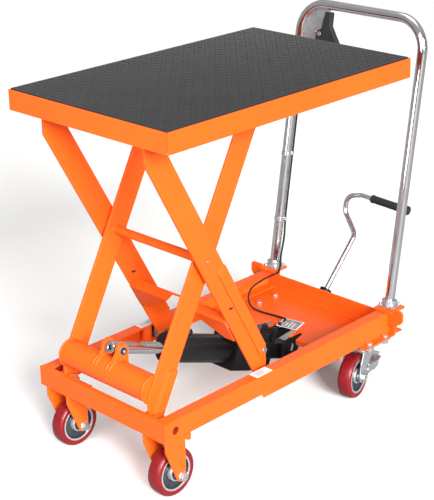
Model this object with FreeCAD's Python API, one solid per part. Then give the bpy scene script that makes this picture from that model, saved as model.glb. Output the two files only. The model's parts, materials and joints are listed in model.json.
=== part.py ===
import FreeCAD, Part
import os, math

V = FreeCAD.Vector
os.makedirs("parts", exist_ok=True)

# ------------------------------------------------------------------ driving dimensions (mm)
XO = -95.7            # shift of the working x so the overall box is centred on x = 0
# scissor pivots (x, z), rest pose = fully raised
P1X, P1Z = -321.0, 156.0      # inner arms to base, front
CX_, CZ_ = -177.0, 448.5      # centre crossing
T1X, T1Z = -321.0, 741.0      # outer arms to table, front
R1X, R1Z = -33.0, 156.0       # base roller axis
R2X, R2Z = -33.0, 741.0       # table roller axis
BAR = 61.9                    # lean of the flat bars, degrees
WI, WO = 52.0, 54.0           # bar widths, inner and outer
YI0, YI1 = 124.0, 130.0       # inner arm faces
YO0, YO1 = 141.0, 147.0       # outer arm faces
ROLL_B, ROLL_T = 15.7, 15.2   # roller radii
# base frame
FX0, FX1 = -349.0, 350.0
FY = 189.0
ZT, ZBF, ZBR = 178.0, 137.0, 128.0
T = 3.0
FL = 28.0
# table
TL, TW, TH = 700.0, 450.0, 768.0
SK = 43.0
# wheels
RW, WW = 51.0, 32.0
FWX = -307.5
FWY = (-156.0, 138.0)
KX, KY = 284.0, 157.0
TRAIL = 40.0
CBX = (262.0, 318.0)          # caster plate bolts along x
CBY = (134.0, 197.0)          # caster plate bolts, inner and outer row
SWIV = {-1: 13.0, 1: 6.0}
# hydraulics
LX, LZ = -303.0, 265.0        # rod pin
CYL = 20.4                    # fall of the ram toward the rear, degrees
TS = 510.0                    # distance rod pin to trunnion
SLR = 10.5                    # half width of the trunnion slots
# handle
HX, HZ, HY = 359.0, 184.0, 175.0
LEAN = 9.9
HTOP = 816.0
HR = 11.0
HB = 70.0


# ------------------------------------------------------------------ helpers
def box(x0, x1, y0, y1, z0, z1):
    return Part.makeBox(abs(x1 - x0), abs(y1 - y0), abs(z1 - z0), V(min(x0, x1), min(y0, y1), min(z0, z1)))


def cy(x, y0, y1, z, r):
    return Part.makeCylinder(r, abs(y1 - y0), V(x, min(y0, y1), z), V(0, 1, 0))


def cz(x, y, z0, z1, r):
    return Part.makeCylinder(r, z1 - z0, V(x, y, z0), V(0, 0, 1))


def cxx(x0, x1, y, z, r):
    return Part.makeCylinder(r, x1 - x0, V(x0, y, z), V(1, 0, 0))


def prism(pts, d):
    w = Part.makePolygon([V(*p) for p in pts] + [V(*pts[0])])
    return Part.Face(w).extrude(V(*d))


def pxz(pts, y0, y1):
    return prism([(p[0], min(y0, y1), p[1]) for p in pts], (0, abs(y1 - y0), 0))


def pyz(pts, x0, x1):
    return prism([(x0, p[0], p[1]) for p in pts], (x1 - x0, 0, 0))


def pxy(pts, z0, z1):
    return prism([(p[0], p[1], z0) for p in pts], (0, 0, z1 - z0))


def mir(s):
    return s.mirror(V(0, 0, 0), V(0, 1, 0))


def fuse(parts):
    s = parts[0]
    if len(parts) > 1:
        s = s.fuse(parts[1:])
    return s.removeSplitter()


def fillet(s, r, test):
    es = [e for e in s.Edges if test(e)]
    if not es:
        return s
    try:
        f = s.makeFillet(r, es)
        if f.isValid() and f.Volume > 0:
            return f
    except Exception:
        pass
    return s


def mid(e):
    a, b = e.ParameterRange
    return e.valueAt((a + b) / 2.0)


def vertical_to_y(e):
    # straight edges that run along y
    if len(e.Vertexes) != 2:
        return False
    d = e.Vertexes[1].Point - e.Vertexes[0].Point
    return abs(d.x) < 1e-6 and abs(d.z) < 1e-6 and abs(d.y) > 1


def hexy(x, y0, y1, z, af):
    r = af / math.sqrt(3)
    return pxz([(x + r * math.cos(math.radians(60 * k)), z + r * math.sin(math.radians(60 * k))) for k in range(6)], y0, y1)


def hexz(x, y, z0, z1, af):
    r = af / math.sqrt(3)
    return pxy([(x + r * math.cos(math.radians(60 * k + 15)), y + r * math.sin(math.radians(60 * k + 15))) for k in range(6)], z0, z1)


def pipe(pts, rad, r, closed=False):
    # round bar through pts with bends of radius rad[i] at the inner points
    edges = []
    cur = V(*pts[0])
    n = len(pts)
    for i in range(1, n - 1):
        a, b, c = V(*pts[i - 1]), V(*pts[i]), V(*pts[i + 1])
        u = (a - b).normalize()
        w = (c - b).normalize()
        ang = u.getAngle(w)
        rr = rad[i - 1] if isinstance(rad, (list, tuple)) else rad
        t = rr / math.tan(ang / 2.0)
        p0 = b + u * t
        p1 = b + w * t
        bis = (u + w).normalize()
        cen = b + bis * (rr / math.sin(ang / 2.0))
        m = cen - bis * rr
        if (p0 - cur).Length > 1e-4:
            edges.append(Part.makeLine(cur, p0))
        edges.append(Part.Arc(p0, m, p1).toShape())
        cur = p1
    edges.append(Part.makeLine(cur, V(*pts[-1])))
    wire = Part.Wire(edges)
    d = (V(*pts[1]) - V(*pts[0])).normalize()
    prof = Part.Wire([Part.makeCircle(r, V(*pts[0]), d)])
    return wire.makePipeShell([prof], True, False)


def cord_radii(pts):
    # largest equal-tangent bend at each inner point, 0.45 of the shorter run beside it
    out = []
    for i in range(1, len(pts) - 1):
        a, b, c = V(*pts[i - 1]), V(*pts[i]), V(*pts[i + 1])
        turn = (b - a).getAngle(c - b)
        out.append(0.45 * min((b - a).Length, (c - b).Length) / math.tan(max(turn, 0.012) / 2.0))
    print("cord radii", [round(r, 1) for r in out])
    return out


def at_axis(s, n=0.0):
    # point on the ram axis at distance s from the rod pin, n above it
    a = math.radians(CYL)
    return LX + s * math.cos(a) + n * math.sin(a), LZ - s * math.sin(a) + n * math.cos(a)


def ram(shape):
    # shape drawn with the ram along +x from the origin, z up; set on the ram axis
    s = shape.copy()
    s.rotate(V(0, 0, 0), V(0, 1, 0), CYL)
    s.translate(V(LX, 0, LZ))
    return s


NODES = []


def put(name, shapes):
    if not isinstance(shapes, (list, tuple)):
        shapes = [shapes]
    solids = []
    for s in shapes:
        s = s.copy()
        solids += s.Solids
    c = solids[0].copy() if len(solids) == 1 else Part.makeCompound([x.copy() for x in solids])
    c.translate(V(XO, 0, 0))
    c.exportStep("parts/%s.step" % name)
    NODES.append((name, len(solids), all(x.isValid() for x in solids)))


# ------------------------------------------------------------------ base frame
front = fuse([
    box(FX0, FX0 + T, -FY, FY, ZBF - 1, ZT),
    box(FX0, FX0 + 12, -FY, FY, ZT - T, ZT),
])
front = fillet(front, 1.6, lambda e: abs(mid(e).x - FX0) < 0.1 and abs(mid(e).z - ZT) < 0.1)
put("base_front_bar", front)


def rail(s):
    web = fuse([
        box(FX0 + T, -78, -FY, -FY + T, ZBF, ZT),
        pxz([(-78, ZBF), (-72, ZBR), (FX1, ZBR), (FX1, ZT), (-78, ZT)], -FY, -FY + T),
        box(FX0 + T, FX1, -FY, -FY + FL, ZT - T, ZT),
        box(FX0 + T, FX1, -FY, -FY + FL, ZBF, ZBF + T),
    ])
    web = web.cut(box(FX0, FX0 + 12, -FY - 1, FY, ZT - T, ZT + 1))
    web = web.cut(cy(P1X, -FY - 1, -FY + T + 1, P1Z, 8.5))
    web = fillet(web, 2.0, lambda e: abs(mid(e).y + FY) < 0.1 and abs(mid(e).z - ZT) < 0.1 and mid(e).x > FX0 + 20)
    return web if s < 0 else mir(web)


put("base_side_rails", [rail(-1), rail(1)])

rear = fuse([
    box(FX1, FX1 + T, -204, 204, ZBR, 170),
    box(FX1, FX1 + 22, -204, 204, ZBR, ZBR + T),
])
rear = fillet(rear, 1.5, lambda e: abs(mid(e).z - ZBR) < 0.1 and abs(mid(e).x - FX1) < 0.1)
rear = rear.fuse(box(FX1 - 16, FX1, -FY + T, FY - T, ZBR + T, ZBR + T + 2.5)).removeSplitter()
rear = rear.cut(pxy([(FX1 + T, 32), (FX1 + 23, 28), (FX1 + 23, 76), (FX1 + T, 72)], ZBR - 1, ZBR + T + 1))
put("base_rear_cross", rear)

pan = fuse([
    box(170, FX1, -FY + T, FY - T, ZBR, ZBR + T),
    box(170, 173, -FY + T, FY - T, ZBR - 9, ZBR + T),
])
notch = pxy([(160, -64), (160, 64), (206, 52), (206, -52)], ZBR - 20, ZBR + 20)
pan = pan.cut(notch)
for s in (-1, 1):
    for bx in CBX:
        pan = pan.cut(cz(bx, s * CBY[0], ZBR - 20, ZBR + 20, 4.2))
put("base_pan_floor", pan)

posts = [cz(-62.5, s * 174, ZBF + T, ZT - T, 12) for s in (-1, 1)]

ears = []
for s in (-1, 1):
    for (a, b) in ((114, 119), (137.5, 142.5)):
        e = pxz([(FX0 + T, 141), (-321, 141), (-307, 147), (-304, 158), (-310, 170), (-321, 174), (-336, 174), (FX0 + T, 168)], s * a, s * b)
        e = e.cut(cy(P1X, s * (a - 1), s * (b + 1), P1Z, 8.0))
        ears.append(fillet(e, 5, lambda ed: vertical_to_y(ed) and mid(ed).x > -325 and mid(ed).x < -300))

# ------------------------------------------------------------------ front forks and wheels
FORK = [(FX0, ZBF - 1), (FX0, 117), (-320.5, 47), (-317, 42.5), (-311, 40.5), (-304, 40.5), (-299, 43.5), (-297, 49), (-297, ZBF - 1)]
forks = []
for (wy, sgn) in ((FWY[0], -1), (FWY[1], 1)):
    for k in (-1, 1):
        y0 = wy + k * 29
        y1 = wy + k * 33
        p = pxz(FORK, y0, y1)
        if sgn < 0 and k < 0:
            p = fuse([p, box(FX0 + T, -297, y0, y1, ZBF - 1, ZBF)])
        p = p.cut(cy(FWX, min(y0, y1) - 1, max(y0, y1) + 1, RW, 6.0))
        forks.append(p)
    top = box(FX0 + T, -283, wy - 29, wy + 29, ZBF - 5, ZBF - 1)
    tab = pxz([(-297, ZBF - 1), (-281, ZBF - 1), (-281, 123), (-286, 121), (-297, 127)], wy - 33, wy - 29)
    forks.append(top)
    forks.append(tab)
fk = []
for i in (0, 4):
    fk.append(fuse(forks[i:i + 4]))
put("front_forks", fk)

bolts = []
for wy in FWY:
    b = fuse([cy(FWX, wy - 35, wy + 35, RW, 6.0), hexy(FWX, wy - 41, wy - 35, RW, 17), cy(FWX, wy - 35, wy - 33, RW, 10.5),
              hexy(FWX, wy + 35, wy + 43, RW, 17), cy(FWX, wy + 33, wy + 35, RW, 10.5),
              cy(FWX, wy - 29, wy - 26.5, RW, 9.5), cy(FWX, wy + 26.5, wy + 29, RW, 9.5)])
    bolts.append(b)
put("front_axle_bolts", bolts)


def revolve(prof, x, y, z):
    # profile of (radius, offset along y) revolved about the y axis through (x, z)
    pts = [V(p[0], p[1], 0) for p in prof]
    f = Part.Face(Part.makePolygon(pts + [pts[0]]))
    s = f.revolve(V(0, 0, 0), V(0, 1, 0), 360)
    s.translate(V(x, y, z))
    return s


def tyre():
    h = WW / 2.0
    s = revolve([(39, -h + 1), (44, -h), (47.5, -h + 1.0), (50, -h + 3.6), (RW, -h + 8), (RW, h - 8), (50, h - 3.6), (47.5, h - 1.0), (44, h), (39, h - 1)], 0, 0, 0)
    return s


def rim(hub):
    h = WW / 2.0
    prof = [(6.05, -hub), (10.5, -hub), (12.5, -hub + 2), (13.5, -8), (33.5, -5), (35.0, -h + 1), (39, -h + 1), (39, h - 1), (35.0, h - 1), (33.5, 5), (13.5, 8), (12.5, hub - 2), (10.5, hub), (6.05, hub)]
    return revolve(prof, 0, 0, 0)


for (nm, wy) in (("fwn", FWY[0]), ("fwf", FWY[1])):
    t = tyre(); t.translate(V(FWX, wy, RW)); put(nm + "_tyre", t)
    r = rim(26.0); r.translate(V(FWX, wy, RW)); put(nm + "_rim", r)

# ------------------------------------------------------------------ rear casters
mounts, tops = [], []
for s in (-1, 1):
    m = fuse([box(243, 346, s * 107, s * 205, ZBR - T, ZBR),
              box(342, 346, s * FY, s * 205, ZBR, ZT - 2)])
    z = box(KX - 52, KX + 50, s * (KY - 44), s * (KY + 47), ZBR - T - 3.5, ZBR - T)
    z = fillet(z, 6, lambda e: len(e.Vertexes) == 2 and abs(e.Vertexes[0].Point.z - e.Vertexes[1].Point.z) > 2)
    for bx in CBX:
        for by in CBY:
            hole = cz(bx, s * by, ZBR - T - 5, ZBR + 1, 4.2)
            m = m.cut(hole)
            z = z.cut(hole)
    race = Part.makeCone(24, 20, 6, V(KX, s * KY, ZBR - T - 3.5 - 6), V(0, 0, 1))
    rr = cz(KX, s * KY, ZBR - T - 3.5 - 9, ZBR - T - 3.5 - 6, 24)
    pin = cz(KX, s * KY, 101.5, ZBR - T - 3.5, 6.0)
    nut = hexz(KX, s * KY, 97.5, 103.0, 15)
    z = fuse([z, rr, race, pin, nut])
    mounts.append(m)
    tops.append(z)
put("caster_mount_plates", mounts)
put("caster_tops", tops)

cb = []
for s in (-1, 1):
    for bx in CBX:
        for by in CBY:
            topz = ZBR + (T if by < FY else 0)
            b = fuse([cz(bx, s * by, 112.5, topz + 4, 4.0), hexz(bx, s * by, topz, topz + 5.5, 13), cz(bx, s * by, ZBR - T - 3.5 - 1.6, ZBR - T - 3.5, 7.6), hexz(bx, s * by, 113.4, ZBR - T - 3.5 - 1.6, 13)])
            cb.append(b)

for s, tag in ((-1, "cn"), (1, "cf")):
    ang = SWIV[s]
    wx = -TRAIL

    def place(sh):
        q = sh.copy()
        q.rotate(V(0, 0, 0), V(0, 0, 1), ang)
        q.translate(V(KX, s * KY, 0))
        return q

    crown = cz(0, 0, 108.6, 112.0, 30).cut(cz(0, 0, 100, 120, 6.05))
    crown = fuse([crown, pxy([(-34, -23.5), (22, -23.5), (26, -16), (26, 16), (22, 23.5), (-34, 23.5)], 105.4, 108.6)]).cut(cz(0, 0, 100, 120, 6.05))
    legs = []
    for k in (-1, 1):
        lp = pxz([(-34, 108.6), (22, 108.6), (16, 92), (-12, 72), (wx + 13, 56), (wx + 13, 46), (wx + 7, 39.5), (wx - 7, 39.5), (wx - 13, 46), (wx - 13, 60), (-46, 84)], k * 20.5, k * 23.5)
        lp = lp.cut(cy(wx, -40, 40, RW, 6.0))
        legs.append(fillet(lp, 4, lambda e: vertical_to_y(e) and mid(e).z < 100))
    fork = fuse([crown] + legs)
    put(tag + "_fork", place(fork))
    ax = fuse([cy(wx, -25, 25, RW, 6.0), hexy(wx, -31, -25, RW, 17), cy(wx, -25, -23.5, RW, 10), hexy(wx, 25, 32, RW, 17), cy(wx, 23.5, 25, RW, 10)])
    put(tag + "_axle", place(ax))
    # brake pedal: plate straddling the fork with a tread at its tip
    bp = []
    for k in (-1, 1):
        side = pxz([(wx + 16, 62), (wx + 24, 68), (4, 67), (38, 61.5), (34, 50.5), (16, 46.5), (0, 51), (wx + 20, 51)], k * 24.2, k * 26.4)
        bp.append(side)
    tread = pxz([(14.5, 57.8), (24, 56), (50, 63), (72, 60.5), (73, 62.5), (71, 64), (50, 66), (24, 59), (14.5, 60.8)], -26.4, 26.4)
    tread = tread.cut(pxy([(50, 18), (80, 10), (80, 40), (50, 40)], 50, 75)).cut(pxy([(50, -18), (80, -10), (80, -40), (50, -40)], 50, 75))
    bp.append(tread)
    brake = fuse(bp)
    brake = fuse([brake, cy(wx + 24, 24.2, 28.5, 60, 4.0), cy(wx + 24, -28.5, -24.2, 60, 4.0)])
    put(tag + "_brake", place(brake))
    t = tyre(); t.translate(V(wx, 0, RW)); put(tag + "_tyre", place(t))
    r = rim(20.2); r.translate(V(wx, 0, RW)); put(tag + "_rim", place(r))

# ------------------------------------------------------------------ handle
hb = []
for s in (-1, 1):
    ear = pyz([(s * FY, 150), (s * 205, 150), (s * 222, 158), (s * 229, 166), (s * 229, 184), (s * 225, 190), (s * 196, 190), (s * FY, 184)], 336, 342)
    ear = fillet(ear, 4, lambda e: len(e.Vertexes) == 2 and abs(abs(mid(e).y) - 225) < 5 and abs(e.Vertexes[0].Point.x - e.Vertexes[1].Point.x) > 3)
    shelf = box(332, 382, s * 153, s * 202, ZT, HZ)
    web = box(353, 357, s * 153, s * 200, 140, ZT)
    hb.append(fuse([ear, shelf, web]))
put("handle_brackets", hb)

la = math.radians(LEAN)


def leg(zv):
    return HX + (zv - HZ) * math.tan(la)


handle = pipe([(leg(HZ), -HY, HZ), (leg(HTOP), -HY, HTOP), (leg(HTOP), HY, HTOP), (leg(HZ), HY, HZ)], HB, HR)
handle = handle.cut(box(300, 420, -300, 300, 100, HZ))
put("handle_tube", handle)

col = []
for s in (-1, 1):
    d = V(math.sin(la), 0, math.cos(la))
    p = V(HX, s * HY, HZ)
    c = Part.makeCylinder(16, 17, p - d * 3, d).fuse(Part.makeCylinder(17.5, 4, p + d * 11, d))
    flange = pxy([(HX - 16.6, s * HY - 20), (HX + 20, s * HY - 20), (HX + 20, s * HY + 20), (HX - 16.6, s * HY + 20)], HZ, HZ + 3.5)
    flange = fillet(flange, 5, lambda e: len(e.Vertexes) == 2 and abs(e.Vertexes[0].Point.z - e.Vertexes[1].Point.z) > 2)
    c = c.fuse(flange)
    c = c.cut(box(300, 420, -300, 300, 100, HZ)).cut(Part.makeCylinder(HR, 80, p - d * 20, d))
    col.append(c.removeSplitter())
put("handle_collars", col)

hbolts = []
for s in (-1, 1):
    for dx in (-12.2, 15.6):
        for dy in (-15.5, 15.5):
            hbolts.append(fuse([hexz(HX + dx, s * HY + dy, HZ + 3.5, HZ + 7.5, 7), ]))
put("frame_bolts", cb + hbolts)

# gusset in the far top bend, drawn in the plane of the bow then leaned
def bow(shape):
    # y = frame y, z = distance up the leg from the foot, x = out of the bow plane
    q = shape.copy()
    q.rotate(V(0, 0, 0), V(0, 1, 0), LEAN)
    q.translate(V(HX, 0, HZ))
    return q


HL = (HTOP - HZ) / math.cos(la)
yc, zc = HY - HB, HL - HB
arc = []
for k in range(0, 13):
    a = math.radians(90 * k / 12.0)
    arc.append((yc + (HB - HR) * math.cos(a), zc + (HB - HR) * math.sin(a)))
gp = [(yc + HB - HR, zc - 46)] + arc + [(yc - 14, zc + HB - HR), (yc - 2, zc - 46)]
gus = pyz(gp, -2, 2)
gus = gus.fuse(Part.makeCylinder(5.0, 15, V(-7.5, yc + 8, zc + 2), V(1, 0, 0)))
gus = gus.cut(Part.makeCylinder(2.4, 30, V(-15, yc + 22, zc + 6), V(1, 0, 0)))
put("handle_gusset", bow(gus.removeSplitter()))

lv = pyz([(yc - 4, zc + HB - HR - 5), (yc - 16.5, zc + HB - HR - 5), (yc - 18, zc + 22), (yc - 48, zc - 20), (yc - 48, zc - 30), (yc + 18, zc - 22), (yc + 16, zc + 8), (yc + 4, zc + 14)], 2.5, 6.8)
lv = lv.fuse(pyz([(yc - 4, zc + HB - HR - 5), (yc - 16.5, zc + HB - HR - 5), (yc - 18, zc + 22), (yc - 48, zc - 20), (yc - 48, zc - 30), (yc + 18, zc - 22), (yc + 16, zc + 8), (yc + 4, zc + 14)], -6.8, -2.5))
lv = lv.fuse(pyz([(yc - 16.6, zc + HB - HR - 5), (yc - 20, zc + HB - HR - 5), (yc - 21, zc + 22), (yc - 51, zc - 20), (yc - 51, zc - 30), (yc - 48, zc - 30), (yc - 48, zc - 20), (yc - 17.6, zc + 22)], -6.8, 6.8))
lv = lv.cut(Part.makeCylinder(5.06, 60, V(-30, yc + 8, zc + 2), V(1, 0, 0)))
put("release_lever", bow(lv.removeSplitter()))

# ------------------------------------------------------------------ scissor arms
u = (math.cos(math.radians(BAR)), math.sin(math.radians(BAR)))


def edge_x(z, side, w):
    # x of an inner bar edge at height z, side -1 left, +1 right
    return CX_ + (z - CZ_) * u[0] / u[1] + side * (w / 2.0) / u[1]


def arm_profile(w, flip):
    xl = -334.0
    zl = CZ_ + (xl + (w / 2.0) / u[1] - CX_) * u[1] / u[0]
    lo = [(xl, zl), (xl, 146), (-330, 141), (-322, 139), (-312, 141)]
    xr0 = edge_x(158, 1, w)
    lo += [(-305, 147), (xr0, 158)]
    pts = lo + [(2 * CX_ - p[0], 2 * CZ_ - p[1]) for p in lo]
    # lower-left end, then up the right edge to the upper-right end
    low = lo
    upp = [(2 * CX_ - p[0], 2 * CZ_ - p[1]) for p in lo]
    poly = low + upp
    if flip:
        poly = [(2 * CX_ - p[0], p[1]) for p in poly]
    return poly


def doubler(w, s0, s1, wid, flip):
    # strip along the right edge of an inner bar between heights s0..s1
    n = (u[1], -u[0])
    e0 = w / 2.0

    def pt(s, e):
        return (CX_ + s * u[0] + e * n[0], CZ_ + s * u[1] + e * n[1])
    p = [pt(s0, e0), pt(s1, e0), pt(s1 + 4, e0 - 6), pt(s1 - 4, e0 - wid), pt(s0 + 4, e0 - wid)]
    if flip:
        p = [(2 * CX_ - q[0], q[1]) for q in p]
    return p


inner_arms, outer_arms = [], []
for s in (-1, 1):
    a = pxz(arm_profile(WI, False), s * YI0, s * YI1)
    d = pxz(doubler(WI, -318, -222, 23, False), s * YI1, s * (YI1 + 5))
    a = fuse([a, d])
    a = a.cut(cy(P1X, s * (YI0 - 1), s * (YI1 + 6), P1Z, 8.05)).cut(cy(CX_, s * (YI0 - 1), s * (YI1 + 6), CZ_, 8.05)).cut(cy(R2X, s * (YI0 - 1), s * (YI1 + 6), R2Z, 6.0))
    inner_arms.append(a)
    # outer bars are the mirror image about x = CX_
    o = pxz([(2 * CX_ - p[0], p[1]) for p in arm_profile(WO, False)], s * YO0, s * YO1)
    od = []
    nn = (u[1], u[0])

    def op(sv, e):
        # along the outer bar, sv measured down-right from the crossing, e toward the rear edge
        return (CX_ + sv * u[0] + e * nn[0], CZ_ - sv * u[1] + e * nn[1])
    strip = [op(32, WO / 2 - 10), op(40, WO / 2 - 24), op(286, WO / 2 - 24), op(286, WO / 2 - 8), op(272, WO / 2), op(32, WO / 2)]
    o = fuse([o, pxz(strip, s * YO1, s * (YO1 + 5))])
    o = o.cut(cy(T1X, s * (YO0 - 1), s * (YO1 + 6), T1Z, 8.05)).cut(cy(CX_, s * (YO0 - 1), s * (YO1 + 6), CZ_, 8.0)).cut(cy(R1X, s * (YO0 - 1), s * (YO1 + 6), R1Z, 6.0))
    sl = op(128, -8)
    slot = fuse([cy(sl[0], s * (YO0 - 1), s * (YO1 + 1), sl[1], 2.4), cy(sl[0] + 8, s * (YO0 - 1), s * (YO1 + 1), sl[1] - 1.5, 2.4), pxz([(sl[0], sl[1] - 2.4), (sl[0] + 8, sl[1] - 3.9), (sl[0] + 8, sl[1] + 0.9), (sl[0], sl[1] + 2.4)], s * (YO0 - 1), s * (YO1 + 1))])
    o = o.cut(slot)
    outer_arms.append(o)
put("inner_arm_near", inner_arms[0])
put("inner_arm_far", inner_arms[1])
put("outer_arm_near", outer_arms[0])
put("outer_arm_far", outer_arms[1])

# torque tube with the two rod lugs
TQX, TQZ = -318.0, 220.0
tq = cy(TQX, -YI0, YI0, TQZ, 28.5).cut(cy(TQX, -YI0 + 3, YI0 - 3, TQZ, 25.0))
lugs = []
for s in (-1, 1):
    base = pxz([(TQX - 24, TQZ + 8), (LX - 15, LZ - 2), (LX - 13, LZ + 8), (LX - 7, LZ + 14), (LX, LZ + 16), (LX + 7, LZ + 14), (LX + 13, LZ + 8), (LX + 15, LZ - 2), (TQX + 28, TQZ + 2), (TQX + 20, TQZ - 12), (TQX - 14, TQZ - 10)], s * 16, s * 24)
    base = base.cut(cy(TQX, -100, 100, TQZ, 28.4)).cut(cy(LX, -100, 100, LZ, 7.0))
    lugs.append(base)
tq = fuse([tq] + lugs)
put("torque_tube", tq)

tie = cy(CX_, -YI0, YI0, CZ_, 9.0)
put("tie_tube", tie)

# cross plate between the outer bars: flange with an arched lower edge and a return lip
n2 = (-u[1], -u[0])      # toward the front edge of the outer bar


def fp(sv, e):
    return (CX_ + sv * u[0] + e * n2[0], CZ_ - sv * u[1] + e * n2[1])


face = pxz([fp(148, 31), fp(148, 28), fp(206, 28), fp(206, 31)], -YO0, YO0)
lip = pxz([fp(148, 31), fp(148, 8), fp(151, 8), fp(151, 31)], -YO0, YO0)
cp = fuse([face, lip])
# arch through the middle of the face and the foot of the lip, clear of the pump when folded
wtop = [(20, 146), (-20, 146), (-112, 204), (-112, 230), (112, 230), (112, 204)]
pl = []
for (y, sv) in wtop:
    q = fp(sv, 45)
    pl.append(V(q[0], y, q[1]))
fc = Part.Face(Part.makePolygon(pl + [pl[0]]))
q0, q1 = fp(200, 45), fp(200, 12)
arch = fc.extrude(V(q1[0] - q0[0], 0, q1[1] - q0[1]))
cp = cp.cut(arch)
put("outer_cross_plate", cp)

# pins
pins_o, pins_i, pins_b, pins_t = [], [], [], []
for s in (-1, 1):
    c = fuse([cy(CX_, s * 124.5, s * 148.2, CZ_, 8.0), cy(CX_, s * 130.6, s * 141, CZ_, 15)])
    pins_o.append(c)
    r1 = fuse([cy(R1X, s * 138, s * 185.4, R1Z, 6.0), cy(R1X, s * 138, s * 141, R1Z, 11), cy(R1X, s * YO1, s * 162.4, R1Z, 9), cy(R1X, s * 183.5, s * 185.4, R1Z, 9)])
    pins_o.append(r1)
    r2 = fuse([cy(R2X, s * 96.6, s * 133.5, R2Z, 6.0), cy(R2X, s * 130, s * 133.5, R2Z, 10), cy(R2X, s * 119.6, s * 124, R2Z, 9), cy(R2X, s * 96.6, s * 98.4, R2Z, 9)])
    pins_i.append(r2)
    b = fuse([cy(P1X, s * 112, s * 146, P1Z, 8.0), cy(P1X, s * 142.5, s * 146, P1Z, 12), cy(P1X, s * 111.5, s * 114, P1Z, 11)])
    pins_b.append(b)
    t1 = fuse([cy(T1X, s * 131.5, s * 158.5, T1Z, 8.0), cy(T1X, s * 155, s * 158.5, T1Z, 12)])
    pins_t.append(t1)
    # strip bolt on the outer face of each outer arm
    sb = op(279, 15.5)
    pins_o.append(hexy(sb[0], s * (YO1 + 5), s * (YO1 + 9), sb[1], 12))
put("outer_arm_pins", pins_o)
put("inner_arm_pins", pins_i)
put("base_pivot_pins", pins_b)
put("table_pivot_pins", pins_t)

put("base_rollers", [cy(R1X, s * 163, s * 183, R1Z, ROLL_B).cut(cy(R1X, s * 160, s * 190, R1Z, 6.05)) for s in (-1, 1)])
put("table_rollers", [cy(R2X, s * 99, s * 119, R2Z, ROLL_T).cut(cy(R2X, s * 90, s * 125, R2Z, 6.05)) for s in (-1, 1)])

# ------------------------------------------------------------------ table
hx, hy = TL / 2, TW / 2
sheet = box(-hx, hx, -hy, hy, TH - 8.5, TH - 6)
ring = box(-hx, hx, -hy, hy, TH - SK - 1, TH - 1).cut(box(-hx + 3, hx - 3, -hy + 3, hy - 3, TH - SK - 5, TH + 5))
tray = fuse([sheet, ring])
tray = fillet(tray, 1.2, lambda e: abs(mid(e).z - (TH - 1)) < 0.1 and (abs(abs(mid(e).x) - hx) < 0.1 or abs(abs(mid(e).y) - hy) < 0.1))
tray = fillet(tray, 2.0, lambda e: len(e.Vertexes) == 2 and abs(abs(mid(e).x) - hx) < 0.1 and abs(abs(mid(e).y) - hy) < 0.1 and abs(e.Vertexes[0].Point.z - e.Vertexes[1].Point.z) > 20)
put("table_tray", tray)
mat = box(-hx + 3.2, hx - 3.2, -hy + 3.2, hy - 3.2, TH - 6, TH)
put("table_mat", mat)
chan, tbr = [], []
for s in (-1, 1):
    c = box(-62, hx - 3, s * 93, s * 121, TH - 45.5, TH - 8.5).cut(box(-70, hx + 3, s * 96, s * 125, TH - 42.5, TH - 11.5))
    chan.append(c)
    for (a, b) in ((133, 138), (150, 155)):
        p = pxz([(-343, TH - 8.5), (-340, 733), (-333, 726), (-321, 724.5), (-309, 726), (-302, 733), (-296, TH - 8.5)], s * a, s * b)
        p = p.cut(cy(T1X, s * (a - 1), s * (b + 1), T1Z, 8.0))
        tbr.append(p)
put("table_channels", chan)
put("table_pivot_brackets", tbr)

# ------------------------------------------------------------------ hydraulics
rod = fuse([cxx(11, 221, 0, 0, 12.5), cy(0, -8, 14, 0, 13.0), cxx(2, 14, 0, 0, 11.0)])
rod = fuse([rod, cxx(203, 221, 0, 0, 25.4)])
rod = rod.cut(cy(0, -20, 20, 0, 7.05))
put("ram_rod", ram(rod))
rp = fuse([cy(LX, -27, 27, LZ, 7.0), hexy(LX, -31, -25.5, LZ, 17), cy(LX, -25.5, -24, LZ, 10.5), cy(LX, 24, 25.5, LZ, 10.5), hexy(LX, 25.5, 32, LZ, 17)])
put("ram_pin", rp)

GL0 = 148.0
barrel = cxx(GL0 + 10, 328, 0, 0, 31.0).cut(cxx(GL0, 322, 0, 0, 25.46))
boss = Part.makeCylinder(6.5, 8, V(208, 0, 29.5), V(0, 0, 1)).fuse(Part.makeCylinder(4.2, 12, V(208, 0, 29.5), V(0, 0, 1)))
barrel = barrel.fuse(boss).cut(cxx(GL0, 322, 0, 0, 25.46)).removeSplitter()
put("ram_barrel", ram(barrel))
gland = fuse([cxx(GL0, GL0 + 10, 0, 0, 34.5), cxx(GL0 + 10, GL0 + 28, 0, 0, 25.46)])
gland = gland.cut(cxx(GL0 - 1, GL0 + 40, 0, 0, 12.56))
gland = fuse([gland])
put("ram_gland", ram(gland))

body = box(328, 388, -37, 37, -41, 36)
body = fillet(body, 5, lambda e: len(e.Vertexes) == 2 and abs(e.Vertexes[0].Point.x - e.Vertexes[1].Point.x) > 20)
strap = box(312, 328, -24, 24, 24, 38).cut(cxx(300, 340, 0, 0, 31.0))
tail = box(388, 534, -21, 21, -18, 19)
tail = fillet(tail, 4, lambda e: len(e.Vertexes) == 2 and abs(e.Vertexes[0].Point.x - e.Vertexes[1].Point.x) > 20)
housing = box(396, 452, -18, 18, 19, 38)
foot = pxz([(352, -41), (388, -41), (420, -41), (420, -18), (352, -18)], -30, 30)
jl = []
JS, JN = 462.0, -30.0
for s in (-1, 1):
    jl.append(pxz([(JS - 12, -17), (JS - 9, -36), (JS - 4, -40), (JS + 4, -40), (JS + 9, -36), (JS + 12, -17)], s * 12, s * 18).cut(cy(JS, -40, 40, JN, 6.06)))
post = fuse([box(470, 482, -12, -4, 19, 46), cy(476, -13, -3, 46, 6.5)])
trun = cy(TS, -44.3, 44.3, 0, 8.0)
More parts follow.
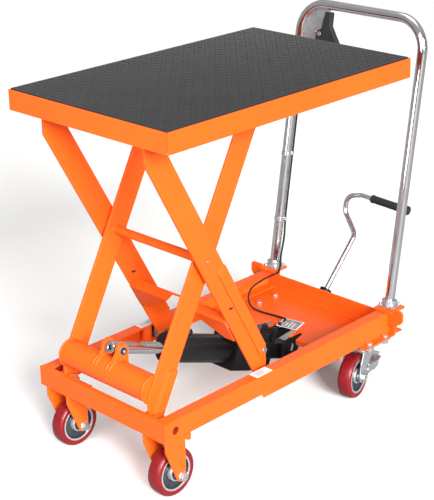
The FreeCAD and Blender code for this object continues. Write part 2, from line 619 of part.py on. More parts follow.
bore = Part.makeCylinder(6.05, 31, V(444, 0, -18.5), V(0, 0, 1)).fuse(Part.makeCylinder(9.5, 10.5, V(444, 0, -18.5), V(0, 0, 1)))
body = fuse([body, tail, housing, foot, trun, strap, post] + jl)
body = body.cut(bore)
body = body.cut(cxx(300, 328, 0, 0, 31.0))
vpiv = Part.makeCylinder(4.0, 16, V(420, -18, 27), V(0, -1, 0))
body = fuse([body, vpiv])
put("pump_body", ram(body))

plunger = fuse([Part.makeCylinder(6.0, 26, V(444, 0, -23), V(0, 0, 1)), Part.makeCylinder(8.5, 4, V(444, 0, -26.5), V(0, 0, 1))])
put("pump_plunger", ram(plunger))

# release valve lever on the near side of the pump body, pivot stub at (420, -18..-34, 27)
vl = pxz([(414, 20), (426, 20), (430, 34), (426, 62), (414, 62), (411, 34)], -26.5, -20.5)
vl = vl.cut(cy(420, -40, 0, 27, 4.06))
nutv = hexy(420, -33, -26.5, 56, 9)
wire = Part.makeCylinder(0.9, 39, V(425.4, -23.5, 57), V(1, 0.33, -0.17))
vl = fuse([vl, nutv, wire])
put("valve_lever", ram(vl))

# pump lever: cross shaft, arm at y 47..57 to the rear and the pedal socket
jx, jz = at_axis(JS, JN)
SOX, SOY, SOZ = 409.0, 52.0, 142.5        # mouth of the pedal socket
ex, ez = 367.0, 99.0
shaft = cy(jx, -22, 57, jz, 6.0)
fing = ram(pxz([(JS + 6, JN - 6), (JS - 8, JN - 7.5), (JS - 20, JN - 4.5), (JS - 21, JN + 0.5), (JS - 19, JN + 1.8), (JS - 14, JN + 1.8), (JS - 5, JN + 3.5), (JS + 4, JN + 5.0)], -9, 9))
armp = pxz([(jx - 9, jz - 9), (jx - 9, jz + 9), (ex - 6, ez + 8), (ex + 4, ez + 15), (ex + 15, ez - 1), (ex + 6, ez - 8)], 47, 57)
d45 = V(516.0 - SOX, 0, 252.5 - SOZ).normalize()
sock = Part.makeCylinder(13, 60, V(SOX, SOY, SOZ) - d45 * 60, d45)
sockr = Part.makeCylinder(14.5, 12, V(SOX, SOY, SOZ) - d45 * 12, d45)
lever = fuse([shaft, fing, armp, sock, sockr])
lever = lever.cut(Part.makeCylinder(6.0, 42, V(SOX, SOY, SOZ) - d45 * 40, d45))
put("pump_lever", lever)

ped = pipe([tuple(V(SOX, SOY, SOZ) - d45 * 40), (516, 52, 252.5), (526, 92, 300.0), (534, 92, 338.0), (538, 50, 347.0), (538, -85, 341.0)], [26, 26, 26, 26], 6.0)
put("pedal_bar", ped)
g0, g1 = V(538, 18, 345.5), V(538, -88, 340.8)
gd = (g1 - g0).normalize()
grip = Part.makeCylinder(9.3, 104, g0, gd).fuse(Part.makeCylinder(11.0, 7, g0 + gd * 101, gd))
grip = grip.fuse(Part.makeCylinder(10.2, 5, g0, gd)).removeSplitter()
grip = fillet(grip, 2.5, lambda e: abs(mid(e).y - (g0 + gd * 108).y) < 1.5)
grip = grip.cut(ped)
grip = grip.Solids[0] if len(grip.Solids) else grip
put("pedal_grip", grip)

# hangers for the trunnion, welded under the pan
tx, tz = at_axis(TS)
hang = []
for s in (-1, 1):
    h = pxz([(206, ZBR), (150, ZBR - 8), (152, 80), (163, 68), (190, 70), (204, 90), (230, ZBR)], s * 33, s * 38)
    mx, mz = tx + 8.6, tz + 11.6
    slot = fuse([cy(tx, s * 30, s * 40, tz, SLR), cy(mx, s * 30, s * 40, mz, SLR),
                 pxz([(tx - SLR * 0.803, tz + SLR * 0.596), (tx + SLR * 0.803, tz - SLR * 0.596), (mx + SLR * 0.803, mz - SLR * 0.596), (mx - SLR * 0.803, mz + SLR * 0.596)], s * 30, s * 40)])
    hang.append(h.cut(slot))
put("base_brackets", posts + ears + hang)

# ------------------------------------------------------------------ release cable, clips, labels
lt = math.tan(la)


def on_leg(z, dx, dy):
    return (HX + (z - HZ) * lt + dx, HY + dy, z)


CR = 2.4
LX2, LY2 = 9.0, -10.6          # where the sheath lies beside the leg
cab = [(HX + (742 - HZ) * lt + 9.0, 136, 742), on_leg(672, LX2, LY2), on_leg(302, LX2, LY2),
       on_leg(256, 9.5, -14.5), on_leg(218, -2.0, -19.0), (350.5, 147, 191), (331, 136, 186), (304, 133, 189), (268, 132.5, 188),
       (230, 131, 181), (211.5, 124, 164), (214, 116, 142), (223, 94, 134), (228, 66, 134), (230, 36, 135), (218, 10, 143), (198, -4, 150), (176, -8.5, 152)]
cable = pipe(cab, cord_radii(cab), CR)
put("release_cable", cable)
clips = []
for z in (620, 460, 302):
    p = V(*on_leg(z, 0, 0))
    d = V(math.sin(la), 0, math.cos(la))
    q = p + V(LX2, LY2, 0)
    c = Part.makeCylinder(HR + 1.4, 8, p - d * 4, d).fuse(Part.makeCylinder(CR + 1.5, 8, q - d * 4, d))
    c = c.cut(Part.makeCylinder(HR, 20, p - d * 10, d)).cut(Part.makeCylinder(CR + 0.05, 20, q - d * 10, d)).cut(cable)
    clips.append(max(c.Solids, key=lambda k: k.Volume))
e0, e1 = V(*cab[-2]), V(*cab[-1])
ed = (e1 - e0).normalize()
fer = Part.makeCylinder(CR + 1.3, 11, e1 - ed * 10.6, ed).fuse(Part.makeCylinder(CR + 2.2, 3, e1 - ed * 2.6, ed)).cut(Part.makeCylinder(CR + 0.05, 30, e1 - ed * 29, ed))
clips.append(max(fer.Solids, key=lambda k: k.Volume))
put("cable_clips", clips)

lab = [pxy([(196, 22), (238, 34), (250, -18), (208, -30)], ZBR + T, ZBR + T + 0.5),
       box(-88, -42, -186, -163, ZT, ZT + 0.4), box(-84, -36, 166, 186, ZT, ZT + 0.4)]
put("label_plates", lab)

print("nodes", len(NODES), "not valid:", [n for n in NODES if not n[2]])
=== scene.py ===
import bpy
import bmesh
import json
import math
from mathutils import Vector, Matrix


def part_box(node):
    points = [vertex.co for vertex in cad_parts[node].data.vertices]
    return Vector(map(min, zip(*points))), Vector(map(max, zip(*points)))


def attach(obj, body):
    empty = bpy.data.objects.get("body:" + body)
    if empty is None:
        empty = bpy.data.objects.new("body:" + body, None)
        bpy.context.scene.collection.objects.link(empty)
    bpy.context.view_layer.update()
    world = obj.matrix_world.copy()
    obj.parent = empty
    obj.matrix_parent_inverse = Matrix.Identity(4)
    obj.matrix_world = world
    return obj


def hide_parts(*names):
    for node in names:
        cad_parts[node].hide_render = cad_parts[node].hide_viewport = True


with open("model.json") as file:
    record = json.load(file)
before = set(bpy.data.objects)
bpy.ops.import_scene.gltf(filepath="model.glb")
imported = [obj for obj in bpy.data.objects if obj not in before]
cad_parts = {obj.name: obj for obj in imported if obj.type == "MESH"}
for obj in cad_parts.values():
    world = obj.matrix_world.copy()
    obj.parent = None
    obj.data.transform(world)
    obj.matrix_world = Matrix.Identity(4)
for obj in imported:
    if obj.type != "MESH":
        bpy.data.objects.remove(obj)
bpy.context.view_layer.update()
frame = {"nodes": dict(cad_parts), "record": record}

NODES = frame["nodes"]
scene = bpy.context.scene
BODY_OF = {}
for _b, _ms in (frame["record"].get("behaviour") or {}).get("bodies", {}).items():
    for _n in _ms:
        BODY_OF[_n] = _b

# ---------------------------------------------------------------- camera
cam_data = bpy.data.cameras.new("camera")
cam = bpy.data.objects.new("camera", cam_data)
scene.collection.objects.link(cam)
yaw, pitch, roll = math.radians(45.97), math.radians(-19.75), math.radians(-1.04)
fwd = Vector((math.sin(yaw) * math.cos(pitch), math.cos(yaw) * math.cos(pitch), math.sin(pitch)))
right = Vector((math.cos(yaw), -math.sin(yaw), 0))
up = right.cross(fwd)
r2 = right * math.cos(roll) + up * math.sin(roll)
u2 = -right * math.sin(roll) + up * math.cos(roll)
cm = Matrix.Identity(4)
for _i in range(3):
    cm[_i][0], cm[_i][1], cm[_i][2] = r2[_i], u2[_i], -fwd[_i]
cm[0][3], cm[1][3], cm[2][3] = -1.99106, -1.88953, 1.46091
cam.matrix_world = cm
cam_data.sensor_fit = "AUTO"
cam_data.sensor_width = 36.0
cam_data.lens = 98.394
cam_data.shift_x = -0.0433
cam_data.shift_y = -0.1064
cam_data.clip_start, cam_data.clip_end = 0.02, 200
scene.camera = cam
scene.view_settings.view_transform = "Standard"
scene.view_settings.look = "None"
scene.view_settings.exposure = 0.0
scene.view_settings.gamma = 1.0


# ---------------------------------------------------------------- material helpers
class Mat:
    def __init__(self, name):
        self.m = bpy.data.materials.new(name)
        self.m.use_nodes = True
        self.nt = self.m.node_tree
        self.nt.nodes.clear()
        self.out = self.nt.nodes.new("ShaderNodeOutputMaterial")
        self.b = self.nt.nodes.new("ShaderNodeBsdfPrincipled")
        self.nt.links.new(self.b.outputs[0], self.out.inputs[0])
        self.tc = self.nt.nodes.new("ShaderNodeTexCoord")

    def set(self, **kw):
        names = {"metallic": "Metallic", "rough": "Roughness", "coat": "Coat Weight", "coat_rough": "Coat Roughness",
                 "spec": "Specular IOR Level", "sheen": "Sheen Weight", "sss": "Subsurface Weight", "aniso": "Anisotropic",
                 "sss_scale": "Subsurface Scale", "ior": "IOR"}
        for k, v in kw.items():
            self.b.inputs[names[k]].default_value = v

    def link(self, a, b):
        self.nt.links.new(a, b)

    def coords(self, scale=(1, 1, 1), rot=(0, 0, 0), src="Object"):
        mp = self.nt.nodes.new("ShaderNodeMapping")
        mp.inputs["Scale"].default_value = scale
        mp.inputs["Rotation"].default_value = rot
        self.link(self.tc.outputs[src], mp.inputs["Vector"])
        return mp.outputs[0]

    def noise(self, scale, detail=2.0, rough=0.5, vec=None, dist=0.0):
        n = self.nt.nodes.new("ShaderNodeTexNoise")
        n.inputs["Scale"].default_value = scale
        n.inputs["Detail"].default_value = detail
        n.inputs["Roughness"].default_value = rough
        n.inputs["Distortion"].default_value = dist
        self.link(vec if vec is not None else self.tc.outputs["Object"], n.inputs["Vector"])
        return n.outputs["Fac"]

    def voronoi(self, scale, feature="F1", out="Distance", vec=None):
        n = self.nt.nodes.new("ShaderNodeTexVoronoi")
        n.feature = feature
        n.inputs["Scale"].default_value = scale
        self.link(vec if vec is not None else self.tc.outputs["Object"], n.inputs["Vector"])
        return n.outputs[out]

    def ramp(self, fac, stops):
        r = self.nt.nodes.new("ShaderNodeValToRGB")
        cr = r.color_ramp
        while len(cr.elements) > 1:
            cr.elements.remove(cr.elements[-1])
        cr.elements[0].position = stops[0][0]
        cr.elements[0].color = tuple(stops[0][1]) + (1,)
        for p, c in stops[1:]:
            e = cr.elements.new(p)
            e.color = tuple(c) + (1,)
        self.link(fac, r.inputs[0])
        return r.outputs[0]

    def maprange(self, fac, a, b, c, d):
        n = self.nt.nodes.new("ShaderNodeMapRange")
        n.inputs["From Min"].default_value = a
        n.inputs["From Max"].default_value = b
        n.inputs["To Min"].default_value = c
        n.inputs["To Max"].default_value = d
        self.link(fac, n.inputs["Value"])
        return n.outputs[0]

    def mixc(self, fac, a, b, mode="MIX"):
        n = self.nt.nodes.new("ShaderNodeMix")
        n.data_type = "RGBA"
        n.blend_type = mode
        for i, v in ((0, fac), (6, a), (7, b)):
            if hasattr(v, "links"):
                self.link(v, n.inputs[i])
            elif i == 0:
                n.inputs[i].default_value = v
            else:
                n.inputs[i].default_value = tuple(v) + (1,)
        return n.outputs[2]

    def math(self, op, a, b=None):
        n = self.nt.nodes.new("ShaderNodeMath")
        n.operation = op
        for i, v in ((0, a), (1, b)):
            if v is None:
                continue
            if hasattr(v, "links"):
                self.link(v, n.inputs[i])
            else:
                n.inputs[i].default_value = v
        return n.outputs[0]

    def bump(self, height, strength, dist, prev=None):
        n = self.nt.nodes.new("ShaderNodeBump")
        n.inputs["Strength"].default_value = strength
        n.inputs["Distance"].default_value = dist
        self.link(height, n.inputs["Height"])
        if prev is not None:
            self.link(prev, n.inputs["Normal"])
        return n.outputs[0]

    def done(self, color=None, rough=None, normal=None):
        if color is not None:
            self.link(color, self.b.inputs["Base Color"])
        if rough is not None:
            self.link(rough, self.b.inputs["Roughness"])
        if normal is not None:
            self.link(normal, self.b.inputs["Normal"])
        return self.m


def mul(c, k):
    return tuple(min(1.0, x * k) for x in c)


ORANGE = (0.82, 0.098, 0.0085)


def make_orange(name="powder_coat_orange"):
    m = Mat(name)
    m.set(spec=0.23, coat=0.05, coat_rough=0.28)
    broad = m.noise(4.5, 3, 0.55)
    fine = m.noise(160, 3, 0.6)
    col = m.ramp(broad, [(0.3, mul(ORANGE, 0.94)), (0.55, ORANGE), (0.8, (0.86, 0.108, 0.0098))])
    col = m.mixc(m.maprange(fine, 0.58, 0.8, 0.0, 0.22), col, (0.72, 0.066, 0.007))
    rough = m.maprange(m.noise(28, 4, 0.6), 0.3, 0.75, 0.30, 0.46)
    peel = m.noise(620, 2, 0.55)
    waves = m.noise(90, 2, 0.5)
    nrm = m.bump(waves, 0.22, 0.0003)
    nrm = m.bump(peel, 0.30, 0.00012, nrm)
    return m.done(col, rough, nrm)


def make_chrome():
    m = Mat("chrome_tube_plating")
    m.set(metallic=1.0, spec=0.5)
    col = m.ramp(m.noise(22, 3), [(0.3, (0.70, 0.70, 0.72)), (0.7, (0.80, 0.80, 0.82))])
    haze = m.noise(60, 4, 0.65)
    rough = m.maprange(haze, 0.35, 0.8, 0.055, 0.17)
    scr = m.noise(1, 2, 0.6, vec=m.coords((300, 300, 9)))
    return m.done(col, rough, m.bump(scr, 0.10, 0.00008))


def make_zinc():
    m = Mat("zinc_plated_steel")
    m.set(metallic=0.9, spec=0.5)
    cell = m.noise(75, 4, 0.7, dist=0.6)
    col = m.ramp(cell, [(0.28, (0.40, 0.45, 0.50)), (0.5, (0.56, 0.60, 0.64)), (0.72, (0.68, 0.69, 0.66))])
    rough = m.maprange(m.noise(120, 3, 0.6), 0.3, 0.7, 0.24, 0.44)
    fine = m.noise(700, 2, 0.5)
    nrm = m.bump(m.noise(60, 3, 0.6), 0.25, 0.0004)
    return m.done(col, rough, m.bump(fine, 0.18, 0.0001, nrm))


def make_steel():
    m = Mat("machined_steel")
    m.set(metallic=1.0)
    ring = m.noise(1, 2, 0.5, vec=m.coords((40, 900, 40)))
    col = m.ramp(ring, [(0.3, (0.42, 0.42, 0.43)), (0.7, (0.60, 0.60, 0.60))])
    rough = m.maprange(m.noise(200, 3, 0.6), 0.3, 0.7, 0.20, 0.38)
    return m.done(col, rough, m.bump(ring, 0.20, 0.00015))


def make_red():
    m = Mat("cast_polyurethane_red")
    m.set(spec=0.38, coat=0.10, coat_rough=0.22, sss=0.04, sss_scale=0.006)
    col = m.ramp(m.noise(26, 4, 0.6), [(0.3, (0.150, 0.0042, 0.0065)), (0.55, (0.185, 0.0055, 0.0085)), (0.78, (0.22, 0.008, 0.012))])
    scuff = m.maprange(m.noise(240, 4, 0.7), 0.60, 0.78, 0.0, 0.30)
    col = m.mixc(scuff, col, (0.30, 0.035, 0.04))
    rough = m.maprange(m.noise(90, 4, 0.6), 0.3, 0.7, 0.26, 0.42)
    nrm = m.bump(m.noise(45, 2, 0.5), 0.25, 0.0005)
    return m.done(col, rough, m.bump(m.noise(900, 2, 0.5), 0.25, 0.00012, nrm))


def make_rim():
    m = Mat("die_cast_aluminium_rim")
    m.set(metallic=0.75, spec=0.5)
    col = m.ramp(m.noise(140, 4, 0.65), [(0.3, (0.50, 0.49, 0.50)), (0.7, (0.66, 0.64, 0.65))])
    rough = m.maprange(m.noise(260, 3, 0.6), 0.3, 0.7, 0.28, 0.48)
    return m.done(col, rough, m.bump(m.noise(800, 3, 0.6), 0.30, 0.00012))


# near-black material for the rim's recessed web and hub recess: partly the web's own dark finish, partly painted shade
# standing for the shadow in the recess
def make_rim_web_dark_and_shade():
    m = Mat("rim_web_dark_enamel_and_painted_shade")
    m.set(spec=0.5, coat=0.25, coat_rough=0.2, metallic=0.15)
    col = m.ramp(m.noise(60, 4, 0.6), [(0.3, (0.020, 0.026, 0.034)), (0.7, (0.040, 0.048, 0.058))])
    rough = m.maprange(m.noise(160, 3, 0.6), 0.3, 0.7, 0.28, 0.48)
    return m.done(col, rough, m.bump(m.noise(700, 3, 0.6), 0.30, 0.00015))


def make_black():
    m = Mat("black_enamel")
    m.set(spec=0.17, coat=0.02, coat_rough=0.30)
    col = m.ramp(m.noise(18, 4, 0.6), [(0.3, (0.0070, 0.0070, 0.0078)), (0.6, (0.0100, 0.0098, 0.0105)), (0.8, (0.018, 0.017, 0.0175))])
    rough = m.maprange(m.noise(55, 4, 0.6), 0.3, 0.75, 0.27, 0.44)
    nrm = m.bump(m.noise(110, 2, 0.5), 0.25, 0.0003)
    return m.done(col, rough, m.bump(m.noise(650, 2, 0.5), 0.25, 0.00012, nrm))


def make_rubber(name="black_rubber_sheet", base=(0.0165, 0.0163, 0.018), sheen=0.04):
    m = Mat(name)
    m.set(spec=0.17, sheen=sheen)
    col = m.ramp(m.noise(9, 4, 0.6), [(0.3, mul(base, 0.86)), (0.55, base), (0.8, mul(base, 1.22))])
    dust = m.maprange(m.noise(420, 3, 0.7), 0.56, 0.80, 0.0, 0.20)
    col = m.mixc(dust, col, mul(base, 2.1))
    rough = m.maprange(m.noise(60, 4, 0.6), 0.3, 0.7, 0.58, 0.82)
    nrm = m.bump(m.noise(1400, 2, 0.5), 0.35, 0.00012)
    return m.done(col, rough, nrm)


def make_plastic():
    m = Mat("black_moulded_plastic")
    m.set(spec=0.45)
    col = m.ramp(m.noise(30, 3, 0.6), [(0.3, (0.012, 0.012, 0.013)), (0.7, (0.020, 0.020, 0.022))])
    rough = m.maprange(m.noise(150, 3, 0.6), 0.3, 0.7, 0.36, 0.55)
    spark = m.voronoi(1500)
    return m.done(col, rough, m.bump(spark, 0.30, 0.00012))


def make_clip():
    m = Mat("spring_steel_clip")
    m.set(metallic=1.0)
    col = m.ramp(m.noise(90, 3, 0.6), [(0.3, (0.62, 0.63, 0.66)), (0.7, (0.80, 0.80, 0.80))])
    rough = m.maprange(m.noise(300, 3, 0.6), 0.3, 0.7, 0.18, 0.34)
    return m.done(col, rough, m.bump(m.noise(500, 2, 0.5), 0.15, 0.0001))


def make_label(name, paper, ink, bars, border=0.0, header=0.0):
    # UV 0..1 over the plate: printed bars of uneven width, drawn with mathematics only, no lettering
    m = Mat(name)
    m.set(spec=0.5, coat=0.35, coat_rough=0.15)
    sep = m.nt.nodes.new("ShaderNodeSeparateXYZ")
    m.link(m.tc.outputs["UV"], sep.inputs[0])
    u, v = sep.outputs[0], sep.outputs[1]
    inside = m.math("MULTIPLY", m.math("MULTIPLY", m.math("GREATER_THAN", u, 0.12), m.math("LESS_THAN", u, 0.88)),
                    m.math("MULTIPLY", m.math("GREATER_THAN", v, 0.16), m.math("LESS_THAN", v, 0.84)))
    rows = m.math("GREATER_THAN", m.math("FRACT", m.math("MULTIPLY", v, float(bars))), 0.55)
    row_id = m.math("FLOOR", m.math("MULTIPLY", v, float(bars)))
    end = m.math("ADD", 0.55, m.math("MULTIPLY", m.math("FRACT", m.math("MULTIPLY", row_id, 0.377)), 0.33))
    rows = m.math("MULTIPLY", rows, m.math("LESS_THAN", u, end))
    ink_mask = m.math("MULTIPLY", inside, rows)
    if header > 0:
        head = m.math("MULTIPLY", m.math("GREATER_THAN", v, 1.0 - header), 1.0)
        ink_mask = m.math("MAXIMUM", m.math("MULTIPLY", ink_mask, m.math("LESS_THAN", v, 1.0 - header - 0.05)), head)
    col = m.mixc(ink_mask, paper, ink)
    if border > 0:
        e = m.math("MULTIPLY", m.math("MULTIPLY", m.math("GREATER_THAN", u, border), m.math("LESS_THAN", u, 1 - border)),
                   m.math("MULTIPLY", m.math("GREATER_THAN", v, border * 1.3), m.math("LESS_THAN", v, 1 - border * 1.3)))
        col = m.mixc(e, (0.80, 0.80, 0.80), col)
    col = m.mixc(m.maprange(m.noise(70, 4, 0.6), 0.45, 0.8, 0.0, 0.12), col, (0.45, 0.44, 0.42))
    rough = m.maprange(m.noise(160, 3, 0.6), 0.3, 0.7, 0.30, 0.45)
    return m.done(col, rough, m.bump(m.noise(300, 2, 0.5), 0.1, 0.0001))


M = {
    "orange_paint": make_orange(), "chrome_plate": make_chrome(), "zinc_plate": make_zinc(), "machined_steel": make_steel(),
    "red_polyurethane": make_red(), "grey_rim": make_rim(), "black_paint": make_black(), "black_rubber": make_rubber(),
    "black_plastic": make_plastic(), "clip_steel": make_clip(),
}
RIM_WEB_DARK_AND_SHADE = make_rim_web_dark_and_shade()
CABLE = make_rubber("cable_sheath_rubber", (0.012, 0.012, 0.013), 0.0)
CABLE.node_tree.nodes["Principled BSDF"].inputs["Roughness"].default_value = 0.5
GRIP = make_rubber("ribbed_grip_rubber", (0.016, 0.016, 0.017), 0.03)
LABEL_GREY = make_label("rating_plate_print", (0.16, 0.17, 0.19), (0.62, 0.63, 0.64), 6, border=0.045)
LABEL_WHITE = make_label("paper_label_print", (0.80, 0.80, 0.80), (0.14, 0.15, 0.20), 4)

SLOT_OF = {}
for n, o in NODES.items():
    s = o.data.materials[0].name.split(".")[0] if o.data.materials else "orange_paint"
    SLOT_OF[n] = s
    for ms in o.material_slots:
        ms.material = M.get(s, M["orange_paint"])
for ms in NODES["release_cable"].material_slots:
    ms.material = CABLE


# ---------------------------------------------------------------- mesh helpers
def new_obj(name, mesh, mat, body, nodes=()):
    o = bpy.data.objects.new(name, mesh)
    scene.collection.objects.link(o)
    if mat is not None and not mesh.materials:
        mesh.materials.append(mat)
    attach(o, body)
    if nodes:
        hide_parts(*nodes)
    return o


def smooth_all(me):
    me.polygons.foreach_set("use_smooth", [True] * len(me.polygons))
    me.update()


def soften(node, width=0.0007, segs=2, angle=32.0):
    """A copy of a pressed or welded piece with its sharp edges rolled over."""
    src = NODES[node]
    bm = bmesh.new()
    bm.from_mesh(src.data)
    bmesh.ops.remove_doubles(bm, verts=bm.verts, dist=2e-6)
    bmesh.ops.dissolve_degenerate(bm, edges=bm.edges, dist=2e-6)
    bmesh.ops.dissolve_limit(bm, angle_limit=math.radians(0.6), use_dissolve_boundaries=False,
                             verts=bm.verts, edges=bm.edges, delimit={"NORMAL"})
    me = bpy.data.meshes.new(node + "_finished")
    bm.to_mesh(me)
    bm.free()
    for a in ("custom_normal", "sharp_face", "sharp_edge"):
        if a in me.attributes:
            me.attributes.remove(me.attributes[a])
    smooth_all(me)
    me.materials.clear()
    o = new_obj(node + "_finished", me, M.get(SLOT_OF[node]), BODY_OF[node], (node,))
    bv = o.modifiers.new("rolled_edges", "BEVEL")
    bv.limit_method = "ANGLE"
    bv.angle_limit = math.radians(angle)
    bv.width = width
    bv.segments = segs
    bv.use_clamp_overlap = False
    bv.harden_normals = False
    bv.miter_outer = "MITER_SHARP"
    wn = o.modifiers.new("face_normals", "WEIGHTED_NORMAL")
    wn.weight = 60
    wn.keep_sharp = False
    return o


def lathe(profiles, segs, place, name, mats, body, nodes, mat_index=None, sharp=35.0):
    """profiles: closed lists of (radius, offset along the axis); revolved about local y, then placed."""
    bm = bmesh.new()
    for pi, prof in enumerate(profiles):
        rings = []
        for k in range(segs):
            a = 2 * math.pi * k / segs
            rings.append([bm.verts.new((p[0] * math.cos(a), p[1], p[0] * math.sin(a))) for p in prof])
        n = len(prof)
        for k in range(segs):
            A, B = rings[k], rings[(k + 1) % segs]
            for i in range(n):
                j = (i + 1) % n
                f = bm.faces.new((A[i], A[j], B[j], B[i]))
                f.smooth = True
                if mat_index is not None:
                    f.material_index = mat_index(pi, prof[i], prof[j])
    bmesh.ops.recalc_face_normals(bm, faces=bm.faces)
    bm.transform(place)
    me = bpy.data.meshes.new(name)
    bm.to_mesh(me)
    bm.free()
    for mt in mats:
        me.materials.append(mt)
    me.set_sharp_from_angle(angle=math.radians(sharp))
    return new_obj(name, me, None, body, nodes)


def arc2(cx, cy_, r, a0, a1, n):
    return [(cx + r * math.cos(math.radians(a0 + (a1 - a0) * k / n)), cy_ + r * math.sin(math.radians(a0 + (a1 - a0) * k / n))) for k in range(n + 1)]


MM = 0.001


def scaled(pts):
    return [(p[0] * MM, p[1] * MM) for p in pts]


# ---------------------------------------------------------------- wheels
def tyre_profile():
    half = [(38.9, 14.2), (39.3, 15.0), (41.0, 15.5), (43.6, 15.9), (45.4, 15.5), (47.2, 14.9), (48.5, 13.9), (49.5, 12.4), (50.2, 10.5), (50.65, 8.3), (50.9, 5.2), (50.98, 2.2)]
    upper = half + [(50.98, 0.35), (50.98, -0.35)]
    lower = [(p[0], -p[1]) for p in reversed(half)]
    return scaled(upper + lower + [(38.9, -10.0), (38.9, 10.0)])


def rim_profile(hub):
    r = [(38.85, -14.0), (38.85, 14.0), (38.4, 14.85), (37.4, 15.15), (36.0, 15.15), (35.0, 14.7), (34.5, 13.8), (34.0, 10.0), (33.2, 7.0), (31.6, 5.4),
         (27.2, 5.0), (26.6, 5.5), (25.6, 5.5), (25.0, 5.0), (20.5, 5.4), (18.6, 6.6), (17.6, 8.6), (17.2, hub - 8.5), (16.5, hub - 7.4), (14.2, hub - 7.0), (13.9, hub - 7.8), (9.6, hub - 7.8), (9.3, hub - 6.8),
         (8.8, hub - 0.5), (8.2, hub), (6.1, hub)]
    l = [(p[0], -p[1]) for p in reversed(r[2:])]
    return scaled(r + l)


def make_wheel(tag, centre, ang, hub, body):
    place = Matrix.Translation(Vector(centre)) @ Matrix.Rotation(math.radians(ang), 4, "Z")
    lathe([tyre_profile()], 128, place, tag + "_tyre_moulded", [M["red_polyurethane"]], body, (tag + "_tyre",), sharp=50)

    # faces of the recessed web and hub recess take the near-black material, which is partly painted shade
    def idx(pi, a, b):
        ra, rb = a[0] * 1000, b[0] * 1000
        if min(ra, rb) >= 17.6 and max(ra, rb) <= 34.6:
            return 1
        if 9.1 < min(ra, rb) and max(ra, rb) < 14.0:
            return 1
        return 0
    lathe([rim_profile(hub)], 128, place, tag + "_rim_cast", [M["grey_rim"], RIM_WEB_DARK_AND_SHADE], body, (tag + "_rim",), mat_index=idx, sharp=38)


make_wheel("fwn", (-0.4032, -0.156, 0.051), 0, 25.6, "front_wheel_near")
make_wheel("fwf", (-0.4032, 0.138, 0.051), 0, 25.6, "front_wheel_far")
for tag, s, ang, body in (("cn", -1, 13.0, "caster_wheel_near"), ("cf", 1, 6.0, "caster_wheel_far")):
    a = math.radians(ang)
    make_wheel(tag, (0.1883 - 0.040 * math.cos(a), s * 0.157 - 0.040 * math.sin(a), 0.051), ang, 19.8, body)


# ---------------------------------------------------------------- table tray: four folded skirts with open mitres, and the deck
def prism(bm, plan, z0, z1):
    lo = [bm.verts.new((p[0], p[1], z0)) for p in plan]
    hi = [bm.verts.new((p[0], p[1], z1)) for p in plan]
    bm.faces.new(list(reversed(lo)))
    bm.faces.new(hi)
    n = len(plan)
    for i in range(n):
        j = (i + 1) % n
        bm.faces.new((lo[i], lo[j], hi[j], hi[i]))


tlo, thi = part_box("table_tray")
bm = bmesh.new()
G = 0.00055          # half of the mitre gap
TH_ = 0.003
x0, x1, y0, y1 = tlo.x, thi.x, tlo.y, thi.y
zt, zb = thi.z - 0.0012, tlo.z
prism(bm, [(x0 + G, y0), (x1 - G, y0), (x1 - TH_ - G, y0 + TH_), (x0 + TH_ + G, y0 + TH_)], zb, zt)
prism(bm, [(x1 - G, y1), (x0 + G, y1), (x0 + TH_ + G, y1 - TH_), (x1 - TH_ - G, y1 - TH_)], zb, zt)
prism(bm, [(x0, y1 - G), (x0, y0 + G), (x0 + TH_, y0 + TH_ + G), (x0 + TH_, y1 - TH_ - G)], zb, zt)
prism(bm, [(x1, y0 + G), (x1, y1 - G), (x1 - TH_, y1 - TH_ - G), (x1 - TH_, y0 + TH_ + G)], zb, zt)
# deck sheet
prism(bm, [(x0 + 0.0025, y0 + 0.0025), (x1 - 0.0025, y0 + 0.0025), (x1 - 0.0025, y1 - 0.0025), (x0 + 0.0025, y1 - 0.0025)], 0.7595, 0.7620)
# return flange folded in along the foot of each long skirt end: small corner tabs that close the mitre inside
for sx in (0, 1):
    for sy in (0, 1):
        cx = x0 + 0.0031 if sx == 0 else x1 - 0.0031
        cy_ = y0 + 0.0031 if sy == 0 else y1 - 0.0031
        dx = 1 if sx == 0 else -1
        dy = 1 if sy == 0 else -1
        pts = [(cx, cy_), (cx + dx * 0.014, cy_), (cx + dx * 0.014, cy_ + dy * 0.0018), (cx + dx * 0.0018, cy_ + dy * 0.0018), (cx + dx * 0.0018, cy_ + dy * 0.014), (cx, cy_ + dy * 0.014)]
        if dx * dy < 0:
            pts = list(reversed(pts))
        prism(bm, pts, zb + 0.004, 0.7594)
bmesh.ops.recalc_face_normals(bm, faces=bm.faces)
me = bpy.data.meshes.new("table_tray_folded")
bm.to_mesh(me)
bm.free()
smooth_all(me)
tray = new_obj("table_tray_folded", me, M["orange_paint"], "table", ("table_tray",))
bv = tray.modifiers.new("rolled_edges", "BEVEL")
bv.limit_method = "ANGLE"
bv.angle_limit = math.radians(40)
bv.width = 0.0009
bv.segments = 3
bv.use_clamp_overlap = False
wn = tray.modifiers.new("face_normals", "WEIGHTED_NORMAL")
wn.weight = 60

# ---------------------------------------------------------------- table mat: rubber sheet with a raised tread of crossed lozenges
mlo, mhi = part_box("table_mat")
bm = bmesh.new()
slab_top = mhi.z + 0.0003
prism(bm, [(mlo.x + 0.0004, mlo.y + 0.0004), (mhi.x - 0.0004, mlo.y + 0.0004), (mhi.x - 0.0004, mhi.y - 0.0004), (mlo.x + 0.0004, mhi.y - 0.0004)], mlo.z + 0.0002, slab_top)
bmesh.ops.bevel(bm, geom=list(bm.edges), offset=0.0008, segments=3, profile=0.5, affect="EDGES")
PITCH = 0.0158
nx = int((mhi.x - mlo.x - 0.012) / PITCH)
ny = int((mhi.y - mlo.y - 0.012) / PITCH)
sx0 = (mlo.x + mhi.x) / 2 - (nx - 1) * PITCH / 2
sy0 = (mlo.y + mhi.y) / 2 - (ny - 1) * PITCH / 2


